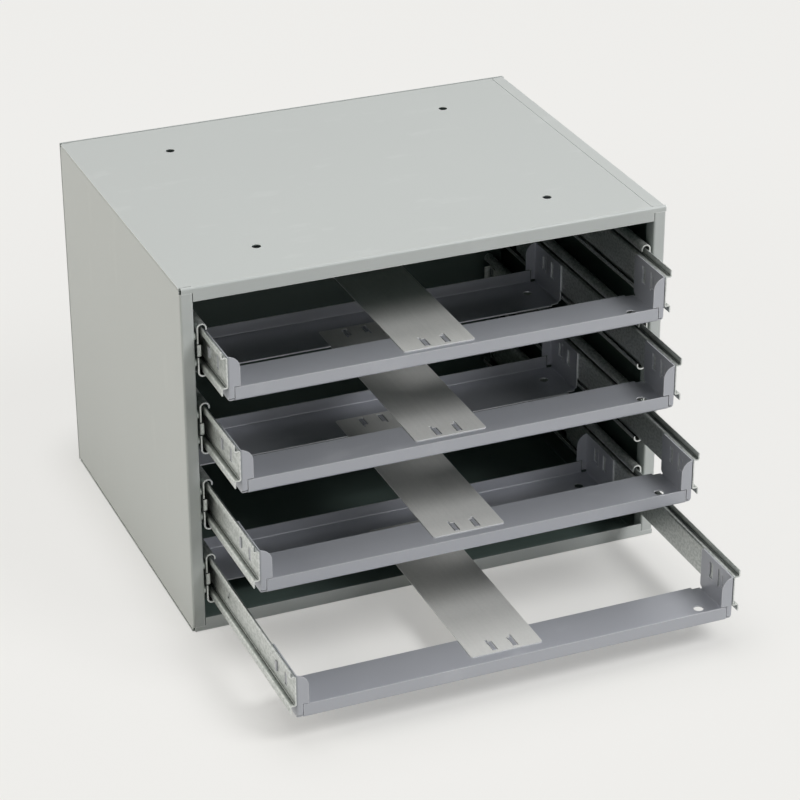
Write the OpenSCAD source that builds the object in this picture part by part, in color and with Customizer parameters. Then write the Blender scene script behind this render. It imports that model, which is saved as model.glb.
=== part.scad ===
// A sheet steel case with four open frames that slide out on ball bearing slides.
// Each frame carries one large compartment box.
// Units are millimetres, +Z is up and the front faces -Y.
// The origin is the middle of the case's footprint, on the floor.

/* [Case] */
// Outside width of the case
case_w = 516; // [500:1:540]
// Outside depth of the case, back panel included
case_d = 400; // [398:1:410]
// Outside height of the case
case_h = 381; // [378:1:400]
// Thickness of the case's sheet steel
case_sheet = 1.2; // [1:0.1:1.4]
// Outside radius of the case's bends
case_bend = 2.4; // [2.2:0.1:2.6]
// Width of a front post, seen from the front
post_w = 13.5; // [12:0.5:13.5]
// Depth of the flange that turns back from a front post
post_return = 15.5; // [15:0.5:18]
// Height of the lips at the front of the top and bottom panels
panel_lip = 14.8; // [12:0.1:16]
// Height of the band by which a lip runs on over the ends of the posts
post_cap = 6; // [5:0.5:7]
// Width of the flanges that join the sides to the top and bottom
seam_flange = 14.6; // [12:0.1:15]
// Width of the slits behind the front corners of the top
corner_slit = 1; // [0.6:0.1:1.2]
// Length of those slits
corner_slit_l = 13; // [10:0.5:14]
// Width of the open corner at the end of a lip
corner_notch = 2; // [1:0.5:2.5]
// Width of the open seam beside the right side's flange
seam_gap = 0.6; // [0.4:0.1:0.8]

/* [Bolt holes of the case] */
// Diameter of the holes in the top and bottom
bolt_hole_d = 9.5; // [8:0.1:11]
// Spacing of those holes across the case
bolt_x = 313; // [300:1:330]
// Spacing of those holes from front to back
bolt_y = 266.7; // [255:0.1:275]
// Diameter of the small holes in the posts' return flanges
post_hole_d = 4; // [3:0.1:5]
// Distance of those holes behind the front
post_hole_y = 11; // [9:0.5:12]
// Distance of those holes below each case slide member
post_hole_drop = 3.4; // [3:0.1:5]

/* [Slides] */
// Height from one frame to the next
pitch = 84.67; // [84:0.01:86]
// Height of the lowest slide's middle
slide_z = 59.3; // [58:0.1:60]
// Height of a case slide member over its hooks
case_member_h = 56.5; // [55:0.1:58]
// Distance of a case slide member's end behind the case's front
case_member_y = 0.5; // [0.3:0.1:0.8]
// Gap between a case slide member's other end and the back panel
rear_gap = 13.8; // [13.3:0.1:15.3]
// Thickness of a case slide member
case_member_t = 1.4; // [1.3:0.1:1.5]
// Distance of a case slide member's back from the case's side
case_member_s = 15.8; // [15.6:0.1:16]
// Outside width of a case slide member's hooks
hook_w = 10.2; // [10:0.1:10.2]
// Length of the straight edge below a hook's curve
hook_edge = 1.9; // [1.5:0.1:2.2]
// Thickness of a frame slide member
frame_member_t = 1.3; // [1.2:0.1:1.3]
// Height of a frame slide member's web
frame_member_h = 33; // [32:0.1:34]
// Distance of a closed frame's front behind the case's front
closed_y = 1.9; // [1.5:0.1:2.5]
// Outside bend radius of the slide members
member_bend = 2; // [1.8:0.1:2.2]
// Height of the stop tabs
stop_h = 12; // [10:1:14]
// Clearance left at the stops
stop_clear = 0.1; // [0.05:0.01:0.15]

/* [Balls and cages] */
// Diameter of the steel balls
ball_d = 3.175; // [3:0.005:3.2]
// Clearance of a ball in its track and its cage
ball_clear = 0.04; // [0.02:0.01:0.06]
// Thickness of a ball cage
cage_t = 0.6; // [0.5:0.1:0.7]
// Length of a ball cage
cage_l = 91.5; // [88:0.1:91.5]
// Distance between balls in a row
ball_step = 13; // [12:0.5:14]
// Balls in a row on the outer side of a hook
ball_count = 7; // [6:1:7]
// Length of the edge of a cage below its curve
cage_edge = 1.6; // [1:0.1:2]
// Length of the window in a cage's web
cage_window_l = 58; // [50:1:60]
// Height of the window in a cage's web
cage_window_h = 22; // [18:1:26]

/* [Rivets of the case slides] */
// Diameter of a rivet's shank
rivet_d = 4.8; // [4:0.1:5]
// Diameter of a rivet's heads
rivet_head_d = 7.6; // [7:0.1:7.8]
// Height of a rivet's heads
rivet_head_h = 1.3; // [1:0.1:1.5]
// Clearance of a shank in its hole
rivet_clear = 0.06; // [0.03:0.01:0.1]
// Diameter of the pressed pad that a rivet passes through
pad_d = 11.6; // [11:0.1:12]
// Height of a rivet above or below the slide's middle
rivet_z = 14; // [13:0.5:15]
// Distance of the front rivets behind the case's front
rivet_y = 8; // [7.5:0.5:9]
// Edge of a rear post's flange left in front of a pad
pad_edge = 2.4; // [1.5:0.1:8]

/* [Frames] */
// Space for a slide between the case's side and a frame
slide_space = 27; // [27:0.1:27.2]
// Length by which the slide members run on behind a frame
member_tail = 51.6; // [49.6:0.1:55.6]
// Height of a frame's base plane below its slides' middle
frame_drop = 29.8; // [29:0.1:30.5]
// Thickness of the rails' sheet steel
rail_t = 1.2; // [1.1:0.1:1.3]
// Outside bend radius of the rails
rail_bend = 2.4; // [2.2:0.1:2.6]
// Depth of a rail's base
rail_d = 66.5; // [65:0.5:68]
// Height of a rail's lip above its base
rail_lip = 13.3; // [12:0.1:14]
// Distance of a lip's end from the frame's side
lip_inset = 7; // [6.5:0.1:8]
// Height of the ears above the base
ear_h = 46; // [45:0.5:46]
// Depth of the ears
ear_d = 65; // [64:0.5:66]
// Radius of the ears' rear corners
ear_round = 4; // [3:0.5:5]
// Width of the flange at the front of an ear
ear_flange = 12.5; // [11:0.5:13.5]
// Width of the lower part of that flange, beside the lip
ear_flange_low = 6; // [5:0.1:6]
// Height of the gap between the lip and the wide part of the flange
ear_flange_gap = 1.2; // [1:0.1:1.5]
// Width of the relief notch in a rail's base beside an ear
relief_w = 11; // [9:0.5:13]
// Depth of the relief notch in a rail's base beside an ear
relief_d = 3; // [2:0.5:4]
// Diameter of the hole near the right end of a rail's base
rail_hole_d = 10; // [8:0.5:11]
// Distance of that hole from the frame's right side
rail_hole_x = 22.5; // [21:0.5:26]
// Distance of that hole from the lip's face
rail_hole_y = 28; // [26:0.5:30]

/* [Tabs and slots of the ears] */
// Distance of the middle of the hook tab's window behind the lip's face
window_y = 44.5; // [43:0.5:46]
// Width of that window
window_w = 7.5; // [7:0.1:8]
// Height of that window
window_h = 18; // [17:0.5:19]
// Height of the tabs' middle above the base
tab_z = 30; // [29.5:0.1:30.5]
// Height of the hook tab
tab_h = 11; // [10:0.5:12]
// Length of the hook tab's turned end
tab_end = 3.6; // [3:0.1:4]
// Clearance of the tabs in the slide member's slots
tab_clear = 0.25; // [0.2:0.01:0.3]
// Clearance of the hook tab's end over the slide member's web
tab_grip = 0.05; // [0.03:0.01:0.1]
// Distance of the pressed bridge's middle behind the lip's face
bridge_y = 25; // [24:0.5:26]
// Width of the pressed bridge
bridge_w = 5.5; // [5:0.1:6]
// Height of the pressed bridge
bridge_h = 14.5; // [13:0.5:15]
// Height to which the bridge stands out
bridge_rise = 0.8; // [0.6:0.1:0.9]
// Width of the slots beside the bridge
bridge_slot = 2.5; // [2:0.1:3]
// Height of the slot behind the bridge
bridge_slot_h = 20; // [18:0.5:21]
// Height of the slot in a slide member's middle
member_slot_h = 8; // [7:0.5:9]
// Width of that slot
member_slot_w = 5; // [4:0.5:6]
// Distance of that slot behind the lip's face
member_slot_y = 187; // [180:1:195]

/* [Strap] */
// Width of the strap
strap_w = 76.2; // [74:0.1:78]
// Distance of the strap's ends from the lips' faces
strap_inset = 31.65; // [31:0.05:33]
// Thickness of the strap
strap_t = 1; // [0.9:0.1:1.2]
// Radius of the strap's corners
strap_round = 2; // [1:0.5:3]
// Distance of the strap's slots from its middle
strap_slot_x = 11; // [10:0.5:14]
// Width of the strap's slots
strap_slot_w = 6.5; // [6:0.1:7]
// Length of the strap's slots
strap_slot_l = 17; // [16:0.5:18]
// Distance of the strap's slots from its end
strap_slot_end = 3.5; // [3:0.1:4]
// Width of the narrow run-on of each slot
strap_notch_w = 2.5; // [2:0.1:3]
// Length of the narrow run-on of each slot
strap_notch_l = 3.5; // [3:0.1:4]
// Width of the rail's tongue in each slot
tongue_w = 3.6; // [3:0.1:4]
// Length of the rail's tongue in each slot
tongue_l = 14; // [13:0.5:15]
// Height of the rail's tongue above the base
tongue_rise = 0.8; // [0.6:0.1:0.9]

/* [Travel] */
// How far frame 1, the top one, stands out at rest
out_1 = 55; // [50:1:60]
// How far frame 2 stands out at rest
out_2 = 84.5; // [80:0.5:90]
// How far frame 3 stands out at rest
out_3 = 130.5; // [125:0.5:135]
// How far frame 4, the bottom one, stands out at rest
out_4 = 224; // [220:1:228]

/* [Hidden] */
// Smoothness of all round shapes
$fn = 64;
// Overrun of cutting shapes past the faces they cut
over = case_sheet;
// Depth of the sides, with the back panel left out
side_d = case_d - case_sheet;
// How far each frame stands out at rest, top to bottom
outs = [out_1, out_2, out_3, out_4];
// Number of levels
levels = len(outs);
// Length of a case slide member
case_member_l = side_d - case_member_y - rear_gap;
// Distance of the rear rivets behind the case's front
rear_rivet_y = case_member_y + case_member_l - rivet_y;
// Depth of the flange that turns forward from a rear post and carries those rivets
rear_return = side_d - rear_rivet_y + pad_d / 2 + pad_edge;
// Place of the curve of a hook, from the case's side and from the slide's middle
hook_r = hook_w / 2;
hook_in_r = hook_r - case_member_t;
hook_s = case_member_s + hook_r;
hook_z = case_member_h / 2 - hook_r;
// Distance of the frames' outside faces from the case's side
frame_s = slide_space;
// Width of a frame over its ears
frame_w = case_w - 2 * slide_space;
// Outer face of the frame member's lip, from the case's side
lip_s = hook_s - frame_member_t / 2;
// Play of a ball counted with the ball's own radius
ball_run = ball_d / 2 + ball_clear;
// Distance of a ball's centre from the middle of the hook's curve
ball_reach = hook_in_r - ball_run;
// The balls lean on the hook at an angle of 45 degrees
ball_side = ball_reach * sin(45);
ball_up = ball_reach * cos(45);
// Distance of a ball's centre from the middle of the lip's round tip
tip_run = ball_run + frame_member_t / 2;
// Height of the middle of the lip's round tip above the slide's middle
tip_z = hook_z + ball_up - sqrt(tip_run * tip_run - ball_side * ball_side);
// Front face of the rear stops, which the frame slide members meet
rear_stop_y = case_member_y + case_member_l - case_member_t;
// Length of a frame slide member
frame_member_l = rear_stop_y - stop_clear - closed_y;
// Depth of a frame
frame_d = frame_member_l - member_tail;
// Length of the strap
strap_l = frame_d - 2 * strap_inset;
// Front face of the frame members' rear stop tabs, from the lip's face
rear_tab_y = frame_member_l - frame_member_t;
// Where the cage stops against the front tab of the case member
front_stop_y = case_member_y + case_member_t;
// Travel from closed to full extension, where the cage is held between the stops
travel = closed_y + rear_tab_y - front_stop_y - cage_l - 2 * stop_clear;
// Front end of a cage when its frame is closed
cage_closed_y = front_stop_y + stop_clear + travel / 2;
// Half the height of the space between post flange holes and a slide's middle
post_hole_z = case_member_h / 2 + post_hole_drop;
// Length of the bent run of a rail's ear
ear_run = ear_d - ear_round;

// Height of the middle of the slides at level k, with 1 at the top
function level_z(k) = slide_z + pitch * (levels - k);
// Distance of the front end of frame k from the case's front, to the rear
function frame_y(k) = -outs[k - 1];
// Distance of the front end of the cages of frame k from the case's front
function cage_y(k) = cage_closed_y + (frame_y(k) - closed_y) / 2;

// Sheet of thickness t bent once, with its outer corner at the origin
module bent_sheet(a, b, t, r) {
    translate([r, 0]) square([a - r, t]);
    translate([0, r]) square([t, b - r]);
    intersection() {
        translate([r, r]) difference() {
            circle(r);
            circle(r - t);
        }
        square(r);
    }
}

// Draws a section in X and Z through a length along Y
module along_y(length) {
    translate([0, length, 0]) rotate([90, 0, 0]) linear_extrude(length) children();
}

// Draws a section in Y and Z through a length along X
module along_x(length) {
    rotate([90, 0, 90]) linear_extrude(length) children();
}

// Moves what is measured from the left side and the front into place
module from_left_front() {
    translate([-case_w / 2, -case_d / 2, 0]) children();
}

// The same for the right side, which is the mirror image
module from_right_front() {
    mirror([1, 0, 0]) from_left_front() children();
}

// Draws the children twice, the second time turned over about half of a length along Y
module front_and_rear(length) {
    children();
    translate([0, length, 0]) mirror([0, 1, 0]) children();
}

// Draws the children twice, the second time turned over about half of a height
module low_and_high(height) {
    children();
    translate([0, 0, height]) mirror([0, 0, 1]) children();
}

// Round hole or pin along X from x = 0
module along_x_rod(length, d) {
    rotate([0, 90, 0]) cylinder(h = length, d = d);
}

// Post at the front of a side: the bend to the side, the post and its return flange
module post_section(return_d) {
    bent_sheet(post_w / 2, return_d, case_sheet, case_bend);
    translate([post_w, 0]) mirror([1, 0])
        bent_sheet(post_w / 2, return_d, case_sheet, case_bend);
}

// Post between the bands of the lips, from its outer corner
module post(return_d) {
    translate([0, 0, post_cap]) linear_extrude(case_h - 2 * post_cap) post_section(return_d);
}

// Places one copy of the children at each rivet of the slide at level k
module at_rivets(k) {
    for (y = [rivet_y, rear_rivet_y])
        for (z = [-rivet_z, rivet_z])
            translate([0, y, level_z(k) + z]) children();
}

// A side, measured from its outer face, reaching from z = low up to case_h - low
module side_panel(low) {
    high = case_h - low;
    flange_y = case_bend + corner_slit;
    difference() {
        union() {
            translate([0, case_bend, low + case_bend])
                cube([case_sheet, side_d - 2 * case_bend, high - low - 2 * case_bend]);
            post(post_return);
            translate([0, side_d, 0]) mirror([0, 1, 0]) post(rear_return);
            low_and_high(case_h)
                translate([0, flange_y, low]) along_y(side_d - 2 * flange_y)
                    bent_sheet(seam_flange, 2 * case_bend, case_sheet, case_bend);
        }
        for (k = [1:levels]) {
            at_rivets(k) translate([post_w - case_sheet - over, 0, 0])
                along_x_rod(case_sheet + 2 * over, rivet_d + 2 * rivet_clear);
            front_and_rear(side_d)
                translate([post_w - case_sheet - over, post_hole_y, level_z(k) - post_hole_z])
                    along_x_rod(case_sheet + 2 * over, post_hole_d);
        }
    }
}

module left_side_panel() {
    color("gainsboro") from_left_front() side_panel(case_sheet);
}

module right_side_panel() {
    color("gainsboro") from_right_front() side_panel(0);
}

// Sheet of the bottom with its stepped right edge, which lies under the right side's flange
module floor_section() {
    step_x = case_w - seam_flange - seam_gap;
    square([step_x, case_sheet]);
    translate([step_x - 2 * case_sheet, case_sheet])
        square([seam_flange + seam_gap - case_bend + 2 * case_sheet - seam_gap, case_sheet]);
}

// The front lip: full height between the posts, a low band across their ends
module floor_lip() {
    translate([post_w, 0, 0]) along_x(case_w - 2 * post_w)
        bent_sheet(2 * case_bend, panel_lip, case_sheet, case_bend);
    translate([corner_notch, 0, 0]) along_x(case_w - corner_notch)
        bent_sheet(case_bend + case_sheet / 2, post_cap - ball_clear, case_sheet, case_bend);
}

// The bottom, measured from the case's left front corner; the top is its mirror image
module floor_sheet() {
    difference() {
        union() {
            translate([0, case_bend + corner_slit, 0])
                along_y(side_d - 2 * (case_bend + corner_slit)) floor_section();
            front_and_rear(side_d) {
                translate([corner_slit_l, case_bend, 0])
                    cube([case_w - corner_slit_l - seam_flange - seam_gap, corner_slit, case_sheet]);
                floor_lip();
            }
        }
        front_and_rear(side_d)
            translate([-over, case_bend + case_sheet / 2, -over])
                cube([corner_slit_l + over, corner_slit, case_sheet + 2 * over]);
        for (x = [-bolt_x, bolt_x])
            for (y = [-bolt_y, bolt_y])
                translate([(case_w + x) / 2, (case_d + y) / 2, -over])
                    cylinder(h = case_sheet + 2 * over, d = bolt_hole_d);
    }
}

module bottom_panel() {
    color("gainsboro") from_left_front() floor_sheet();
}

module top_panel() {
    color("gainsboro") from_left_front()
        translate([0, 0, case_h]) mirror([0, 0, 1]) floor_sheet();
}

module back_panel() {
    color("gainsboro") from_left_front()
        translate([0, side_d, 0]) cube([case_w, case_sheet, case_h]);
}

// Upper half of a case slide member's section, from the case's side and the slide's middle
module case_member_half() {
    translate([case_member_s, 0]) square([case_member_t, hook_z]);
    intersection() {
        translate([hook_s, hook_z]) difference() {
            circle(hook_r);
            circle(hook_in_r);
        }
        translate([case_member_s, hook_z]) square([hook_w, hook_r]);
    }
    translate([hook_s + hook_in_r, hook_z - hook_edge]) square([case_member_t, hook_edge]);
}

// Case slide member: hooked channel with stop tabs at both ends and riveted pads
module case_slide(k) {
    pad_rise = case_member_s - post_w;
    front_tab = hook_s - ball_reach + cage_t - case_member_s;
    rear_tab = frame_s - frame_member_t - case_member_s;
    difference() {
        union() {
            translate([0, case_member_y, level_z(k)]) {
                along_y(case_member_l) {
                    case_member_half();
                    mirror([0, 1]) case_member_half();
                }
                translate([case_member_s, 0, -stop_h / 2]) linear_extrude(stop_h)
                    bent_sheet(front_tab, 2 * member_bend, case_member_t, member_bend);
                translate([case_member_s, case_member_l, -stop_h]) linear_extrude(2 * stop_h)
                    mirror([0, 1])
                        bent_sheet(rear_tab, 2 * member_bend, case_member_t, member_bend);
            }
            at_rivets(k) translate([post_w, 0, 0]) along_x_rod(pad_rise + case_member_t, pad_d);
        }
        at_rivets(k) {
            translate([post_w + case_member_t, 0, 0])
                along_x_rod(pad_rise + over, pad_d - 2 * case_member_t);
            translate([post_w - over, 0, 0])
                along_x_rod(case_member_t + 2 * over, rivet_d + 2 * rivet_clear);
        }
        translate([0, case_member_y - over, level_z(k) + stop_h / 2])
            front_tab_relief();
        translate([0, case_member_y - over, level_z(k) - stop_h / 2])
            mirror([0, 0, 1]) front_tab_relief();
    }
}

// Slot in the web's end that lets the front stop tab bend
module front_tab_relief() {
    translate([case_member_s - over, 0, 0])
        cube([case_member_t + 2 * over, member_bend + over, case_member_t]);
}

module case_slide_left(k) {
    color("silver") from_left_front() case_slide(k);
}

module case_slide_right(k) {
    color("silver") from_right_front() case_slide(k);
}

// Rivet along X with its shank's middle parts between the two heads
module rivet() {
    grip = case_sheet + case_member_t;
    along_x_rod(grip, rivet_d);
    translate([grip, 0, 0]) rivet_head();
    mirror([1, 0, 0]) rivet_head();
}

module rivet_head() {
    along_x_rod(rivet_head_h / 2, rivet_head_d);
    translate([rivet_head_h / 2, 0, 0]) rotate([0, 90, 0])
        cylinder(h = rivet_head_h / 2, d1 = rivet_head_d, d2 = rivet_d);
}

module case_rivets() {
    for (k = [1:levels])
        at_rivets(k) translate([post_w - case_sheet, 0, 0]) rivet();
}

module left_case_rivets() {
    color("silver") from_left_front() case_rivets();
}

module right_case_rivets() {
    color("silver") from_right_front() case_rivets();
}

// Moves a frame's pieces into place: y = 0 is the lip's face, z = 0 the base plane
module in_frame(k) {
    translate([0, frame_y(k) - case_d / 2, level_z(k) - frame_drop]) children();
}

// Upper half of a frame slide member's section, from the case's side and the slide's middle
module frame_member_half() {
    flange = frame_s - lip_s;
    translate([frame_s, frame_member_h / 2]) mirror([1, 0]) mirror([0, 1])
        bent_sheet(flange - member_bend, frame_member_h / 2, frame_member_t, member_bend);
    translate([lip_s, frame_member_h / 2 - frame_member_t])
        bent_sheet(flange / 2, tip_z - frame_member_h / 2 + frame_member_t,
                   frame_member_t, member_bend);
    translate([hook_s, tip_z]) circle(d = frame_member_t);
}

// Slot of a frame slide member's web, with its middle at y and the tabs' height
module member_slot(y, w, h) {
    translate([frame_s - frame_member_t - over, y - w / 2, -h / 2])
        cube([frame_member_t + 2 * over, w, h]);
}

// Frame slide member of the left side, from the case's side, the lip's face and the slide's middle
module frame_slide() {
    tab = frame_s - hook_s + ball_reach + cage_t;
    tab_y = window_y + window_w / 2 - rail_t / 2;
    difference() {
        union() {
            along_y(frame_member_l) {
                frame_member_half();
                mirror([0, 1]) frame_member_half();
            }
            translate([frame_s, frame_member_l, -stop_h / 2]) linear_extrude(stop_h)
                mirror([1, 0]) mirror([0, 1])
                    bent_sheet(tab, 2 * member_bend, frame_member_t, member_bend);
        }
        front_and_rear(frame_d) {
            translate([0, 0, tab_z - frame_drop]) {
                member_slot(tab_y, rail_t + 2 * tab_clear, tab_h + 2 * tab_clear);
                member_slot(bridge_y, bridge_w + 2 * tab_clear, bridge_h + 2 * tab_clear);
            }
        }
        member_slot(member_slot_y, member_slot_w, member_slot_h);
    }
}

module frame_slide_left(k) {
    color("lightgray") in_frame(k)
        translate([-case_w / 2, 0, frame_drop]) frame_slide();
}

module frame_slide_right(k) {
    color("lightgray") in_frame(k)
        mirror([1, 0, 0]) translate([-case_w / 2, 0, frame_drop]) frame_slide();
}

// Outline of an ear in Y and Z, with rounded rear corners
module ear_outline() {
    difference() {
        translate([rail_bend, rail_bend - rail_t])
            square([ear_d - rail_bend, ear_h - rail_bend + rail_t]);
        translate([ear_d, ear_h]) mirror([1, 0]) mirror([0, 1]) corner_cut(ear_round);
        translate([ear_d, rail_bend - rail_t]) mirror([1, 0]) corner_cut(ear_round);
    }
}

// What rounding a corner at the origin takes away
module corner_cut(r) {
    difference() {
        translate([-r, -r]) square(2 * r);
        translate([r, r]) circle(r);
        translate([r, -r]) square([r, 2 * r]);
        translate([-r, r]) square([2 * r, r]);
    }
}

// Front flange of an ear in X and Z, with its quarter round at the top
module ear_flange_outline() {
    low = rail_lip + ear_flange_gap;
    translate([rail_bend, rail_bend]) square([ear_flange_low - rail_bend, low - rail_bend]);
    translate([rail_bend, low])
        square([ear_flange - rail_bend, ear_h - low - ear_flange]);
    intersection() {
        translate([0, ear_h - ear_flange]) circle(ear_flange);
        translate([rail_bend, ear_h - ear_flange])
            square([ear_flange - rail_bend, ear_flange]);
    }
}

// Left ear of a rail, from its outer face, with its windows, hook tab and pressed bridge
module ear() {
    tab_y = window_y + window_w / 2 - rail_t;
    difference() {
        union() {
            along_x(rail_t) ear_outline();
            translate([0, 0, rail_bend]) linear_extrude(ear_h - rail_bend)
                bent_sheet(rail_bend + rail_t / 2, 2 * rail_bend, rail_t, rail_bend);
            translate([0, rail_t, 0]) rotate([90, 0, 0]) linear_extrude(rail_t)
                ear_flange_outline();
        }
        ear_slot(window_y, window_w, window_h);
        ear_slot(bridge_y + bridge_w / 2 + bridge_slot / 2, bridge_slot, bridge_slot_h);
        ear_slot(bridge_y - bridge_w / 2 - bridge_slot / 2, bridge_slot, bridge_h);
        translate([rail_t - bridge_rise, bridge_y - bridge_w / 2 - over, tab_z - bridge_h / 2])
            cube([rail_t + over, bridge_w + 2 * over, bridge_h]);
    }
    translate([-bridge_rise, bridge_y - bridge_w / 2, tab_z - bridge_h / 2])
        cube([rail_t, bridge_w, bridge_h]);
    translate([rail_t, tab_y, tab_z - tab_h / 2]) mirror([1, 0, 0]) {
        cube([2 * rail_t + frame_member_t + tab_grip, rail_t, tab_h]);
        translate([rail_t + frame_member_t + tab_grip, 0, 0])
            cube([rail_t, tab_end, tab_h]);
    }
}

// Slot through an ear, with its middle at y and the tabs' height
module ear_slot(y, w, h) {
    translate([-over, y - w / 2, tab_z - h / 2]) cube([rail_t + 2 * over, w, h]);
}

// Places the children at both ends of a rail, the right one as a mirror image
module at_both_ears() {
    translate([-frame_w / 2, 0, 0]) children();
    mirror([1, 0, 0]) translate([-frame_w / 2, 0, 0]) children();
}

// Places the children at the tongues of a rail, which are also the strap's front slots
module at_tongues() {
    for (side = [0, 1])
        mirror([side, 0, 0])
            translate([strap_slot_x - strap_slot_w / 2,
                       strap_inset + strap_slot_end, 0]) children();
}

// Rail with its lip at y = 0: base, lip, ears, tongues for the strap
module rail() {
    lip_x = frame_w / 2 - lip_inset;
    tongue_y = (strap_slot_l - tongue_l) / 2;
    difference() {
        union() {
            translate([-lip_x, 0, -rail_t]) along_x(2 * lip_x)
                bent_sheet(rail_d, rail_lip + rail_t, rail_t, rail_bend);
            translate([rail_bend - frame_w / 2, rail_bend, -rail_t])
                cube([frame_w - 2 * rail_bend, rail_d - rail_bend, rail_t]);
            at_both_ears() {
                translate([0, rail_bend, -rail_t]) along_y(ear_run - rail_bend)
                    bent_sheet(2 * rail_bend, 2 * rail_bend, rail_t, rail_bend);
                ear();
            }
        }
        at_both_ears()
            translate([-over, rail_d - relief_d, -rail_t - over])
                cube([relief_w + over, relief_d + over, rail_t + 2 * over]);
        translate([frame_w / 2 - rail_hole_x, rail_hole_y, -rail_t - over])
            cylinder(h = rail_t + 2 * over, d = rail_hole_d);
        at_tongues() translate([0, 0, -rail_t - over])
            cube([strap_slot_w, strap_slot_l, rail_t + 2 * over]);
    }
    at_tongues() {
        translate([strap_slot_w / 2 - tongue_w / 2, tongue_y, tongue_rise - rail_t])
            cube([tongue_w, tongue_l, rail_t]);
        for (y = [0, strap_slot_l - tongue_y - rail_t])
            translate([strap_slot_w / 2 - tongue_w / 2, y, -rail_t])
                cube([tongue_w, tongue_y + rail_t, rail_t]);
    }
}

module front_rail(k) {
    color("slategray") in_frame(k) rail();
}

module rear_rail(k) {
    color("slategray") in_frame(k) translate([0, frame_d, 0]) mirror([0, 1, 0]) rail();
}

// Outline of the strap with rounded corners
module strap_outline() {
    difference() {
        translate([-strap_w / 2, 0]) square([strap_w, strap_l]);
        for (side = [0, 1])
            for (end = [0, 1])
                mirror([side, 0]) translate([0, end * strap_l]) mirror([0, end])
                    translate([-strap_w / 2, 0]) corner_cut(strap_round);
    }
}

// Slot of the strap with its narrow run-on at the outer side
module strap_slot() {
    cube([strap_slot_w, strap_slot_l, strap_t + 2 * over]);
    translate([strap_slot_w - strap_notch_w, strap_slot_l - over, 0])
        cube([strap_notch_w, strap_notch_l + over, strap_t + 2 * over]);
}

module strap(k) {
    color("whitesmoke") in_frame(k) difference() {
        translate([0, strap_inset, 0]) linear_extrude(strap_t) strap_outline();
        front_and_rear(frame_d) at_tongues() translate([0, 0, -over]) strap_slot();
    }
}

// Upper half of a cage's section, from the case's side and the slide's middle
module cage_half() {
    inner = ball_reach - cage_t / 2;
    outer = ball_reach + cage_t / 2;
    translate([hook_s - outer, 0]) square([cage_t, hook_z]);
    intersection() {
        translate([hook_s, hook_z]) difference() {
            circle(outer);
            circle(inner);
        }
        translate([hook_s - outer, hook_z]) square([2 * outer, outer]);
    }
    translate([hook_s + inner, hook_z - cage_edge]) square([cage_t, cage_edge]);
}

// Places the children at the balls of a slide: x from the case's side, y from the cage's end
module at_balls() {
    first_y = (cage_l - (ball_count - 1) * ball_step) / 2;
    for (turn = [0, 1])
        mirror([0, 0, turn]) translate([hook_s, first_y, hook_z]) {
            for (i = [0:ball_count - 1])
                translate([0, i * ball_step, 0]) rotate([0, -45, 0]) children();
            for (i = [0:ball_count - 2])
                translate([0, (i + 1 / 2) * ball_step, 0]) rotate([0, 45, 0]) children();
        }
}

// Ball cage of the left slide: thin channel whose edges curl over the frame member's lips
module cage() {
    difference() {
        along_y(cage_l) {
            cage_half();
            mirror([0, 1]) cage_half();
        }
        at_balls() cylinder(h = ball_reach + cage_t, d = ball_d + 2 * ball_clear);
        translate([case_member_s, (cage_l - cage_window_l) / 2, -cage_window_h / 2])
            cube([hook_r, cage_window_l, cage_window_h]);
    }
}

// Moves a cage or its balls to their place in the slide at level k
module in_cage(k) {
    translate([-case_w / 2, cage_y(k) - case_d / 2, level_z(k)]) children();
}

module cage_left(k) {
    color("khaki") in_cage(k) cage();
}

module cage_right(k) {
    color("khaki") mirror([1, 0, 0]) in_cage(k) cage();
}

module ball_set() {
    at_balls() translate([0, 0, ball_reach]) sphere(d = ball_d);
}

module balls(k) {
    color("dimgray") in_cage(k) ball_set();
    color("dimgray") mirror([1, 0, 0]) in_cage(k) ball_set();
}

left_side_panel();
right_side_panel();
top_panel();
bottom_panel();
back_panel();
case_slide_left(1);  // case_slide_left_1
case_slide_left(2);  // case_slide_left_2
case_slide_left(3);  // case_slide_left_3
case_slide_left(4);  // case_slide_left_4
case_slide_right(1);  // case_slide_right_1
case_slide_right(2);  // case_slide_right_2
case_slide_right(3);  // case_slide_right_3
case_slide_right(4);  // case_slide_right_4
left_case_rivets();
right_case_rivets();
front_rail(1);  // front_rail_1
front_rail(2);  // front_rail_2
front_rail(3);  // front_rail_3
front_rail(4);  // front_rail_4
rear_rail(1);  // rear_rail_1
rear_rail(2);  // rear_rail_2
rear_rail(3);  // rear_rail_3
rear_rail(4);  // rear_rail_4
strap(1);  // strap_1
strap(2);  // strap_2
strap(3);  // strap_3
strap(4);  // strap_4
frame_slide_left(1);  // frame_slide_left_1
frame_slide_left(2);  // frame_slide_left_2
frame_slide_left(3);  // frame_slide_left_3
frame_slide_left(4);  // frame_slide_left_4
frame_slide_right(1);  // frame_slide_right_1
frame_slide_right(2);  // frame_slide_right_2
frame_slide_right(3);  // frame_slide_right_3
frame_slide_right(4);  // frame_slide_right_4
cage_left(1);  // cage_left_1
cage_left(2);  // cage_left_2
cage_left(3);  // cage_left_3
cage_left(4);  // cage_left_4
cage_right(1);  // cage_right_1
cage_right(2);  // cage_right_2
cage_right(3);  // cage_right_3
cage_right(4);  // cage_right_4
balls(1);  // balls_1
balls(2);  // balls_2
balls(3);  // balls_3
balls(4);  // balls_4
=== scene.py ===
# %% [markdown]
# A slide rack for compartment boxes.
# The rack is a folded sheet steel case with four open frames that run out on ball bearing slides.
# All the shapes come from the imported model, so this lesson is about finishes, light and camera:
# powder coat on folded sheet, zinc on rolled slides, bare strip for the straps, and polished balls.

# %% Load the frame
import math

import bpy
from mathutils import Matrix, Vector


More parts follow.
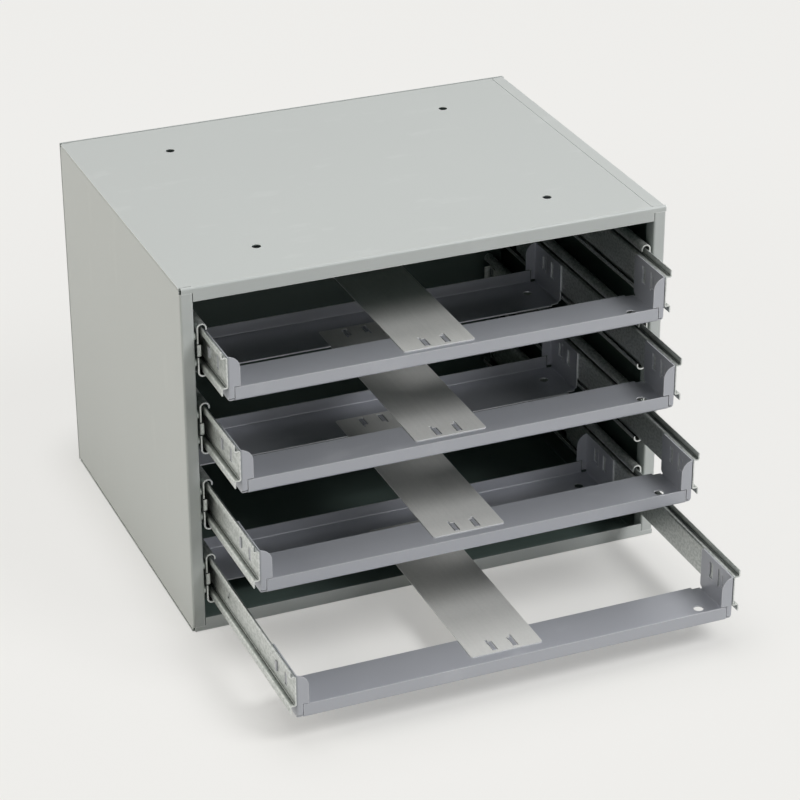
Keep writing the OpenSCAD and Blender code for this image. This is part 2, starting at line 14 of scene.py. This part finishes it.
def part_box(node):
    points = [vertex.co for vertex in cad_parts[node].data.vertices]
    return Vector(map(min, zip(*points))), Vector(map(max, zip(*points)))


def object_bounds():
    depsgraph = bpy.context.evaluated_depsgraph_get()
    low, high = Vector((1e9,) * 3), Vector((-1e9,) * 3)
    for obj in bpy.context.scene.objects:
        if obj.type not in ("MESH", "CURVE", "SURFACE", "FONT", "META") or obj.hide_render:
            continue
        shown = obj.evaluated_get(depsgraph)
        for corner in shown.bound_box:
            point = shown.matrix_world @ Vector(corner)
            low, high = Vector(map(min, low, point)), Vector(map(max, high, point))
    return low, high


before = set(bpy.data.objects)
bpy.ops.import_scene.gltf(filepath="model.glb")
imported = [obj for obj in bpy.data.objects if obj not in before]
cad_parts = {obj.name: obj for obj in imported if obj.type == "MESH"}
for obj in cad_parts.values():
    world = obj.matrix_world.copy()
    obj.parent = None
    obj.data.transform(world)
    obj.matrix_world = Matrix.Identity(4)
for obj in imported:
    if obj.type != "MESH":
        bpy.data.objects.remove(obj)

cad_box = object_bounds()
print("its box runs from", [round(v, 3) for v in cad_box[0]], "to", [round(v, 3) for v in cad_box[1]])

# %% [markdown]
# Every finish below is a small graph of shader nodes, and each sum in it takes a Math node.
# Such graphs can be drawn by hand in the shader editor, or read from a file of node groups.
# Here a wire of the graph is wrapped in a class that knows plus, minus and times, also with a plain number
# in front, so that a mask is written as 1 - wear * 0.5 and the script shows what each finish is made of.

# %% A wire that can be used in sums
class Wire:
    """One number, colour or direction that runs through a graph of shader nodes."""

    def __init__(self, graph, socket):
        self.graph = graph
        self.socket = socket

    def math(self, operation, *others):
        """Any other sum, with this wire as its first term."""
        return self.graph.math(operation, self, *others)

    def __add__(self, other):
        return self.math("ADD", other)

    def __sub__(self, other):
        return self.math("SUBTRACT", other)

    def __rsub__(self, other):
        return self.graph.math("SUBTRACT", other, self)

    def __mul__(self, other):
        return self.math("MULTIPLY", other)

    __radd__ = __add__
    __rmul__ = __mul__

    def above(self, low, high):
        """0 below low, 1 above high, and a smooth rise between them."""
        node = self.graph.add("ShaderNodeMapRange", {"interpolation_type": "SMOOTHSTEP"},
                              {"Value": self, "From Min": low, "From Max": high})
        return node["Result"]

    def size(self):
        """The number without its sign."""
        return self.math("ABSOLUTE")


print("a wire can be added, subtracted and multiplied")

# %% [markdown]
# A graph needs one way to add a node: its type, its settings, and what goes into its sockets.
# A socket takes a plain value or a wire, and the answer is the set of the node's outputs by name.
# Each kind of node could have a function of its own, but one method for all of them is less to learn.

# %% A graph of nodes
class Graph:
    """The node tree of a material or of the world, with one way to add any node."""

    def __init__(self, tree):
        self.tree = tree

    def add(self, kind, settings=None, inputs=None):
        """Adds a node and feeds its sockets, which are named in a dictionary or numbered in a list."""
        node = self.tree.nodes.new(kind)
        for name, value in (settings or {}).items():
            setattr(node, name, value)
        pairs = inputs.items() if isinstance(inputs, dict) else enumerate(inputs or [])
        for key, value in pairs:
            self.feed(self.find(node, key), value)
        return {socket.name: Wire(self, socket) for socket in node.outputs if socket.enabled}

    def find(self, node, key):
        """A node's input by its number, or by its name among the inputs that are in use."""
        if isinstance(key, int):
            return node.inputs[key]
        return next(socket for socket in node.inputs if socket.name == key and socket.enabled)

    def feed(self, socket, value):
        """Links a wire to a socket, or writes a plain value there."""
        if isinstance(value, Wire):
            self.tree.links.new(value.socket, socket)
        else:
            socket.default_value = value

    def math(self, operation, *terms):
        """A Math node on wires and plain numbers."""
        return self.add("ShaderNodeMath", {"operation": operation}, terms)["Value"]

    def mix(self, how_much, first, second):
        """The first colour where how_much is 0, the second where it is 1."""
        node = self.add("ShaderNodeMix", {"data_type": "RGBA"}, {"Factor": how_much, "A": first, "B": second})
        return node["Result"]

    def seen(self):
        """1 for a ray of the camera, of a reflection or through glass, and 0 for one that spreads light."""
        ray = self.add("ShaderNodeLightPath")
        direct = ray["Is Camera Ray"].math("MAXIMUM", ray["Is Glossy Ray"])
        return direct.math("MAXIMUM", ray["Is Transmission Ray"])


def opaque(red, green, blue):
    """A colour without any transparency."""
    return (red, green, blue, 1.0)


print("ready to make graphs")

# %% [markdown]
# A finish is a graph that ends in a material's main shader.
# What varies over a metal surface could be painted on a picture and wrapped round the piece. Noise in the
# object's own metres needs no unwrapping, has the right scale on every piece, and stays sharp close up.

# %% A finish under construction
class Finish(Graph):
    """A material, its main shader, and the patterns that a metal surface needs."""

    def __init__(self, name, **shader):
        self.material = bpy.data.materials.new(name)
        self.material.use_nodes = True
        super().__init__(self.material.node_tree)
        self.shader = self.tree.nodes["Principled BSDF"]
        self.set(**shader)
        self.here = self.add("ShaderNodeTexCoord")["Object"]

    def set(self, **inputs):
        """Feeds the main shader: Base_Color=..., Roughness=... and so on."""
        for name, value in inputs.items():
            self.feed(self.shader.inputs[name.replace("_", " ")], value)

    def fed(self, name):
        """The wire that feeds a socket of the main shader so far."""
        return Wire(self, self.shader.inputs[name].links[0].from_socket)

    def place(self):
        """The place on the object as three wires, in metres."""
        node = self.add("ShaderNodeSeparateXYZ", None, [self.here])
        return node["X"], node["Y"], node["Z"]

    def stretched(self, x, y, z):
        """The place on the object, in metres, with each axis multiplied."""
        return self.add("ShaderNodeVectorMath", {"operation": "MULTIPLY"}, [self.here, (x, y, z)])["Vector"]

    def noise(self, scale, detail, where=None, roughness=0.5):
        """Clouds of 0 to 1, about as many to the metre as the scale says."""
        inputs = {"Vector": where or self.here, "Scale": scale, "Detail": detail, "Roughness": roughness}
        return self.add("ShaderNodeTexNoise", None, inputs)["Fac"]

    def relief(self, height, depth, strength, under=None):
        """A bump of that depth in metres, on top of another bump if there is one."""
        inputs = {"Height": height, "Distance": depth, "Strength": strength}
        if under:
            inputs["Normal"] = under
        return self.add("ShaderNodeBump", None, inputs)["Normal"]


print("ready to make finishes")

# %% [markdown]
# Sheet metal wears at its bends, where the coat is thin and hands rub; here the bends also get a painted
# highlight and the hollows painted shade. Such places could be painted by hand on each piece. Two masks find
# them from the
# shape itself: one asks how far a rounded normal turns away from the true one, and one asks how much of the
# sky the piece hides.

# %% Masks from the shape
bevel_samples = 6
bent_from = 0.02
bent_fully = 0.25
hollow_samples = 12


def bends(finish, radius):
    """1 on bends sharper than the radius and 0 on flat faces."""
    rounded = finish.add("ShaderNodeBevel", {"samples": bevel_samples}, {"Radius": radius})["Normal"]
    true = finish.add("ShaderNodeNewGeometry")["Normal"]
    likeness = finish.add("ShaderNodeVectorMath", {"operation": "DOT_PRODUCT"}, [rounded, true])["Value"]
    return (1 - likeness).above(bent_from, bent_fully)


def hollows(finish, reach):
    """How much of the sky over a spot the piece itself hides within that reach, from 0 to 1."""
    settings = {"samples": hollow_samples, "only_local": True}
    return 1 - finish.add("ShaderNodeAmbientOcclusion", settings, {"Distance": reach})["AO"]


print("two masks, for bends and for hollows")

# %% [markdown]
# The camera stands where the photograph was taken: to the left of the front, well above it and far away,
# with a long lens, so that the sides of the case stay nearly parallel.
# It could be placed by eye, but its place was found by fitting the corners of the case and of the frames.

# %% The camera
camera_place = Vector((-0.9728, -2.4729, 1.4895))
camera_azimuth = math.radians(22.466)
camera_drop = math.radians(27.316)
camera_roll = math.radians(-0.16)
focal_pixels = 2775.5
picture_pixels = 800
sensor_mm = 36.0

camera_data = bpy.data.cameras.new("camera")
camera_data.sensor_width = sensor_mm
camera_data.lens = focal_pixels * sensor_mm / picture_pixels
camera = bpy.data.objects.new("camera", camera_data)
turn = (Matrix.Rotation(-camera_azimuth, 4, "Z") @ Matrix.Rotation(math.pi / 2 - camera_drop, 4, "X")
        @ Matrix.Rotation(camera_roll, 4, "Z"))
camera.matrix_world = Matrix.Translation(camera_place) @ turn
bpy.context.collection.objects.link(camera)
bpy.context.scene.camera = camera
print("lens", round(camera_data.lens, 1), "mm")

# %% [markdown]
# The rack stands on pale paper. In a studio the paper curves up behind the goods, and it could be built like
# that. A flat square that ends far away, under a world of the same pale tone, looks alike from every side.

# %% The floor
floor_size = 14.0
floor_gap = 0.0004

half = floor_size / 2
floor_corners = [(-half, -half, 0), (half, -half, 0), (half, half, 0), (-half, half, 0)]
floor_mesh = bpy.data.meshes.new("paper_floor")
floor_mesh.from_pydata(floor_corners, [], [(0, 1, 2, 3)])
floor = bpy.data.objects.new("paper_floor", floor_mesh)
floor.location.z = cad_box[0][2] - floor_gap
bpy.context.collection.objects.link(floor)
print("a floor of", floor_size, "by", floor_size, "m")

# %% [markdown]
# White paper takes a lot of light to look white, and that light would also fall on the steel.
# Instead, the camera and the reflections see the paper partly as a glow, and no extra light falls on the
# object. The glow is weakest on the spot under the rack and grows outwards, first fast and then slowly, so
# that dim spot is a painted shadow fixed under the rack. The backdrop is even and pale, and the floor also
# keeps the rack's own soft shadow.

# %% The paper on the floor
paper = opaque(0.90, 0.895, 0.875)
paper_shade = opaque(0.88, 0.87, 0.845)
glow_colour = opaque(0.88, 0.872, 0.85)
glow_under = 0.38
glow_beside = 0.84
glow_far = 0.95
painted_shadow_half_width = 0.19
painted_shadow_half_depth = 0.29
painted_shadow_middle_y = -0.11
fast_rise = (0.0, 0.13)
slow_rise = (0.2, 1.0)

floor_paint = Finish("floor_paper", Roughness=0.9, Specular_IOR_Level=0.1)
paper_clouds = floor_paint.noise(scale=0.8, detail=2.0)
floor_paint.set(Base_Color=floor_paint.mix(paper_clouds, paper, paper_shade))
floor_x, floor_y = floor_paint.place()[:2]
beside = (floor_x.size() - painted_shadow_half_width).math("MAXIMUM", 0.0)
before = ((floor_y - painted_shadow_middle_y).size() - painted_shadow_half_depth).math("MAXIMUM", 0.0)
from_rack = (beside * beside + before * before).math("SQRT")
# Less glow on the spot under the rack: a painted shadow that stays fixed there.
glow_share = (glow_under + from_rack.above(*fast_rise) * (glow_beside - glow_under)
              + from_rack.above(*slow_rise) * (glow_far - glow_beside)) * floor_paint.seen()
glow = floor_paint.add("ShaderNodeEmission", None, {"Color": glow_colour})["Emission"]
paper_shader = Wire(floor_paint, floor_paint.shader.outputs["BSDF"])
either_shader = floor_paint.add("ShaderNodeMixShader", None, [glow_share, paper_shader, glow])["Shader"]
floor_paint.feed(floor_paint.tree.nodes["Material Output"].inputs["Surface"], either_shader)
floor_mesh.materials.append(floor_paint.material)
print("the paper glows from", glow_under, "under the rack to", glow_far, "far off")

# %% [markdown]
# The world could light the object from all sides alike, but then the inside of the case would be nearly as
# bright as its outside. So its own light is weak and slightly green, like the light that dark green steel
# sends back, and only the camera and the reflections see it as pale paper.

# %% The world around
world_seen = 0.85
world_light = 0.035
seen_tint = opaque(1.0, 0.99, 0.965)
light_tint = opaque(0.72, 1.0, 0.90)

world = bpy.data.worlds.new("studio")
world.use_nodes = True
bpy.context.scene.world = world
sky = Graph(world.node_tree)
sky_seen = sky.seen()
background = sky.tree.nodes["Background"]
sky.feed(background.inputs["Strength"], world_light + sky_seen * (world_seen - world_light))
sky.feed(background.inputs["Color"], sky.mix(sky_seen, light_tint, seen_tint))
print("the world gives", world_light, "as light and shows as", world_seen)

# %% [markdown]
# Three flat lamps light the rack, as softboxes would in a studio: a wide weak one overhead, the main one in
# front to the right, and a slightly warm one on the left that keeps the side of the case readable.
# Small lamps or a sun would be simpler, but they give hard shadows that the photograph doesn't have.

# %% The lamps
lamp_target = Vector((0.0, -0.1, 0.2))
white = (1.0, 1.0, 1.0)
warm = (1.0, 0.955, 0.87)
lamps = {
    "lamp_over": {"place": (0.0, 0.3, 2.4), "size": (2.2, 1.8), "watts": 19, "colour": white},
    "lamp_front_right": {"place": (1.6, -2.0, 2.9), "size": (1.5, 1.5), "watts": 84, "colour": white},
    "lamp_left": {"place": (-2.5, 0.1, 1.1), "size": (1.6, 1.6), "watts": 24, "colour": warm},
}


def soft_lamp(name, place, size, watts, colour):
    """A flat rectangular lamp that looks at the rack."""
    data = bpy.data.lights.new(name, "AREA")
    data.shape = "RECTANGLE"
    data.size, data.size_y = size
    data.energy = watts
    data.color = colour
    lamp = bpy.data.objects.new(name, data)
    lamp.location = place
    lamp.rotation_euler = (lamp_target - Vector(place)).to_track_quat("-Z", "Y").to_euler()
    bpy.context.collection.objects.link(lamp)


for lamp_name, lamp_values in lamps.items():
    soft_lamp(lamp_name, **lamp_values)
print(len(lamps), "lamps")

# %% [markdown]
# The case has a light grey powder coat: plastic powder that was melted on in an oven.
# It is never quite smooth. It flows out in a fine orange peel, it is thinner and a little brighter over the
# outside of the bends, where a painted highlight lightens it further, and handling leaves faint rubs on the
# flat faces.
# A plain colour with some gloss would pass from far off. The peel and the grain are bumps of 2 to 6
# hundredths of a millimetre, which break up the reflections close by as real powder does.
# The rails' coat is a cooler grey that shines more, as one with fine metal flakes does, so part of its shine
# is metallic.

# %% Powder coat, for the case and for the rails
peel_depth = 0.00006
grain_depth = 0.00002
coat_bend = 0.0011
darker_by = 0.86
lighter_by = 1.12
cloud_tone = 0.16
grain_tone = 0.10
rub_rise = (0.58, 0.72)
rub_share = 0.10
bend_wear_and_highlight_share = 0.8
satin = 0.37
cloud_gloss = 0.12
rub_gloss = 0.08
grain_gloss = 0.10


def powder_coat(name, colour, worn_and_highlit, peel, ior, metallic):
    """Satin paint with orange peel, thin edges that also carry a painted highlight, and faint rubs."""
    coat = Finish(name, IOR=ior, Metallic=metallic)
    clouds = coat.noise(scale=5.0, detail=4.0)
    grain = coat.noise(scale=1400.0, detail=2.0)
    flow = coat.noise(scale=520.0, detail=2.0)
    wiped = coat.stretched(1.0, 2.4, 0.6)
    rubs = coat.noise(scale=14.0, detail=6.0, where=wiped, roughness=0.62).above(*rub_rise)
    shade = (clouds - 0.5) * cloud_tone + (grain - 0.5) * grain_tone
    darker = opaque(*[part * darker_by for part in colour[:3]])
    lighter = opaque(*[min(part * lighter_by, 1.0) for part in colour[:3]])
    body = coat.mix(shade + 0.5, darker, lighter)
    body = coat.mix(rubs * rub_share, body, worn_and_highlit)
    # The bends take the light worn colour, as wear and as a painted highlight.
    body = coat.mix(bends(coat, coat_bend) * bend_wear_and_highlight_share, body, worn_and_highlit)
    roughness = satin + (clouds - 0.5) * cloud_gloss + rubs * rub_gloss + (grain - 0.5) * grain_gloss
    peel_bump = coat.relief(flow, depth=peel_depth * peel, strength=0.6)
    grain_bump = coat.relief(grain, depth=grain_depth * peel, strength=0.5, under=peel_bump)
    coat.set(Base_Color=body, Roughness=roughness, Normal=grain_bump)
    return coat


case_paint = powder_coat("case_powder_coat", colour=opaque(0.56, 0.585, 0.575),
                         worn_and_highlit=opaque(0.88, 0.895, 0.89), peel=1.0, ior=1.5, metallic=0.0)
rail_paint = powder_coat("rail_powder_coat", colour=opaque(0.46, 0.473, 0.515),
                         worn_and_highlit=opaque(0.82, 0.825, 0.84), peel=0.8, ior=1.6, metallic=0.4)
print("two coats of paint")

# %% [markdown]
# Little light gets deep into the case, and here that shade is painted: the inner faces get a dark green
# painted shade in place of the light grey coat. The inner faces could have a material of their own, but each
# panel is one solid, so a mask from the place on the object tells inside from outside. It is 0 up to half a
# sheet behind the outer faces. Further in it starts low at the open front, and is full 3 cm behind it.

# %% Painted shade inside the case
half_sheet = 0.0006
fade_depth = 0.03
mask_at_front = 0.4
painted_inside_shade = opaque(0.11, 0.15, 0.135)

panel_corners = [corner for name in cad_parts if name.endswith("_panel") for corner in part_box(name)]
case_low = Vector([min(corner[axis] for corner in panel_corners) for axis in range(3)])
case_high = Vector([max(corner[axis] for corner in panel_corners) for axis in range(3)])


def inside_case(coat):
    """1 on the inner faces of the case and 0 on the outer ones."""
    x, y, z = coat.place()
    depths = [case_high.x - x.size(), y - case_low.y, case_high.y - y, z - case_low.z, case_high.z - z]
    inside = (y - case_low.y).above(0.0, fade_depth) * (1 - mask_at_front) + mask_at_front
    for depth in depths:
        inside = inside * depth.above(half_sheet * 0.6, half_sheet * 1.4)
    return inside


# Painted shade: the inner faces of the case are darkened to a dark green.
case_paint.set(Base_Color=case_paint.mix(inside_case(case_paint), case_paint.fed("Base Color"), painted_inside_shade))
print("a thin coat inside the case, which reaches up to", round(case_high.z, 3), "m")

# %% [markdown]
# The slides get painted shade in their hollows: a dull tone in the tracks, a dark film further in, and near
# black in the tightest corners. It could be painted by hand. Here two measures find the places: how far a
# spot lies from the middle of the rack, which tells the side of the balls from the side of the frame, and how
# much of the sky the piece itself hides from the spot.

# %% Where the painted shade in the hollows goes
track_x = 0.2362
track_fade = 0.001
track_hidden = (0.04, 0.20)
track_shade_share = 0.7
shade_hidden = (0.15, 0.50)
shade_share = 0.5
deep_shade_hidden = (0.27, 0.38)
shade_reach = 0.009
# Colours of the painted shade in the hollows and in the tightest corners.
painted_hollow_shade = opaque(0.10, 0.13, 0.11)
painted_corner_shade = opaque(0.012, 0.02, 0.016)


def hollow_shade_masks(zinc):
    """Painted shade in the tracks, in the hollows and in the tightest corners, as three masks of 0 to 1."""
    from_middle = zinc.place()[0].size()
    hidden = hollows(zinc, shade_reach)
    shaded_track = from_middle.above(track_x - track_fade, track_x) * hidden.above(*track_hidden)
    return shaded_track * track_shade_share, hidden.above(*shade_hidden) * shade_share, hidden.above(*deep_shade_hidden)


print("grease gathers within", shade_reach * 1000, "mm of a corner")

# %% [markdown]
# The slide members are roll formed from zinc plated strip. Rolling leaves long fine lines, the zinc keeps
# faint clouds and spangle, its clear passivation gives a cool green tone, and handling polishes the bends,
# which a painted highlight lightens further.
# Blender has an anisotropic shader for brushed metal. Here noise that is stretched along the strip makes the
# lines themselves, in the colour, the gloss and the relief, so they also show where a face is seen close by.
# The straps are cut from the same kind of strip, duller and without the painted shade in the hollows, and so
# are cages and rivets.

# %% Zinc on strip that was rolled lengthwise
line_depth = 0.00003
wave_depth = 0.00005
along_strip = 0.012
strip_bend = 0.0008
polished_and_highlit_bend = opaque(0.95, 0.96, 0.95)
wave_share = 0.45
spangle_rise = (0.42, 0.60)
speck_rise = (0.60, 0.75)
speck_share = 0.20
bend_polish_and_highlight_share = 0.9
cloud_roughness = 0.14
line_roughness = 0.12


def rolled_zinc(name, colour, cast, dull, roughness, lines, metallic=0.8, mottling=0.1, hollow_shade=0.0):
    """Plated steel strip with lines along Y, bends that are polished and lightened by a painted highlight,
    and as much painted shade in the hollows as is asked for.
    """
    zinc = Finish(name, Metallic=metallic)
    along = zinc.stretched(1.0, along_strip, 1.0)
    fine = zinc.noise(scale=1900.0, detail=3.0, where=along)
    broad = zinc.noise(scale=260.0, detail=2.0, where=along)
    clouds = zinc.noise(scale=38.0, detail=4.0, roughness=0.6)
    drawn = zinc.stretched(1.0, 0.6, 1.0)
    spangle = zinc.noise(scale=420.0, detail=2.0, where=drawn, roughness=0.6).above(*spangle_rise)
    specks = zinc.noise(scale=900.0, detail=2.0).above(*speck_rise)
    shaded_track, in_shade, in_deep_shade = hollow_shade_masks(zinc)
    body = zinc.mix(clouds, colour, cast)
    body = zinc.mix((1 - broad) * wave_share, body, dull)
    body = zinc.mix(spangle * mottling, body, dull)
    body = zinc.mix(specks * speck_share, body, dull)
    # Painted shade: the tracks, the hollows and the tightest corners darken where the piece hides the sky.
    body = zinc.mix(shaded_track * hollow_shade, body, dull)
    # The bends are lightened, as polish and as a painted highlight.
    body = zinc.mix(bends(zinc, strip_bend) * bend_polish_and_highlight_share, body, polished_and_highlit_bend)
    body = zinc.mix(in_shade * hollow_shade, body, painted_hollow_shade)
    body = zinc.mix(in_deep_shade * hollow_shade, body, painted_corner_shade)
    gloss = roughness + (clouds - 0.5) * cloud_roughness + (fine - 0.5) * line_roughness * lines
    line_bump = zinc.relief(fine, depth=line_depth * lines, strength=0.5)
    wave_bump = zinc.relief(broad, depth=wave_depth * lines, strength=0.4, under=line_bump)
    zinc.set(Base_Color=body, Roughness=gloss, Normal=wave_bump)
    return zinc


slide_zinc = rolled_zinc("slide_zinc", colour=opaque(0.87, 0.885, 0.865), cast=opaque(0.74, 0.765, 0.75),
                         dull=opaque(0.37, 0.405, 0.38), roughness=0.38, lines=1.0, mottling=0.5, hollow_shade=0.95)
strap_zinc = rolled_zinc("strap_strip", colour=opaque(0.86, 0.855, 0.83), cast=opaque(0.78, 0.78, 0.76),
                         dull=opaque(0.62, 0.625, 0.61), roughness=0.50, lines=1.4, metallic=0.4)
cage_steel = rolled_zinc("cage_strip", colour=opaque(0.58, 0.57, 0.54), cast=opaque(0.50, 0.49, 0.46),
                         dull=opaque(0.28, 0.27, 0.24), roughness=0.36, lines=0.6)
rivet_steel = rolled_zinc("rivet_zinc", colour=opaque(0.66, 0.68, 0.67), cast=opaque(0.60, 0.62, 0.61),
                          dull=opaque(0.40, 0.41, 0.41), roughness=0.34, lines=0.4)
print("four kinds of strip")

# %% [markdown]
# The balls are hardened steel, ground and polished, in a film of grease.
# They could be plain mirrors, but they lie in oil and dust, so a faint film changes their tone and gloss.

# %% Polished balls
bare_ball = opaque(0.78, 0.78, 0.79)
oiled_ball = opaque(0.62, 0.60, 0.54)
bare_roughness = 0.08
oiled_roughness = 0.22

ball_steel = Finish("polished_ball", Metallic=1.0)
film = ball_steel.noise(scale=700.0, detail=3.0)
ball_steel.set(Base_Color=ball_steel.mix(film, bare_ball, oiled_ball),
               Roughness=bare_roughness + film * (oiled_roughness - bare_roughness))
print("balls done")

# %% [markdown]
# Each piece of the model now gets its finish by name. The pieces could be swapped for meshes made here, but
# the source already has every bend, slot and tab, so they keep their shapes and only change their material.

# %% Finishes by piece
finish_by_word = {
    "panel": case_paint,
    "rivets": rivet_steel,
    "case_slide": slide_zinc,
    "frame_slide": slide_zinc,
    "rail": rail_paint,
    "strap": strap_zinc,
    "cage": cage_steel,
    "balls": ball_steel,
}


def dress(node_name, piece):
    """Puts the finish that fits the piece's name on all of it."""
    word = next(w for w in finish_by_word if w in node_name)
    piece.data.materials.clear()
    piece.data.materials.append(finish_by_word[word].material)
    return word


dressed = [dress(name, piece) for name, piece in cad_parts.items()]
print({word: dressed.count(word) for word in finish_by_word})

# %% [markdown]
# Last, the view is set to the plain Standard transform.

# %% The view
view = bpy.context.scene.view_settings
view.view_transform = "Standard"
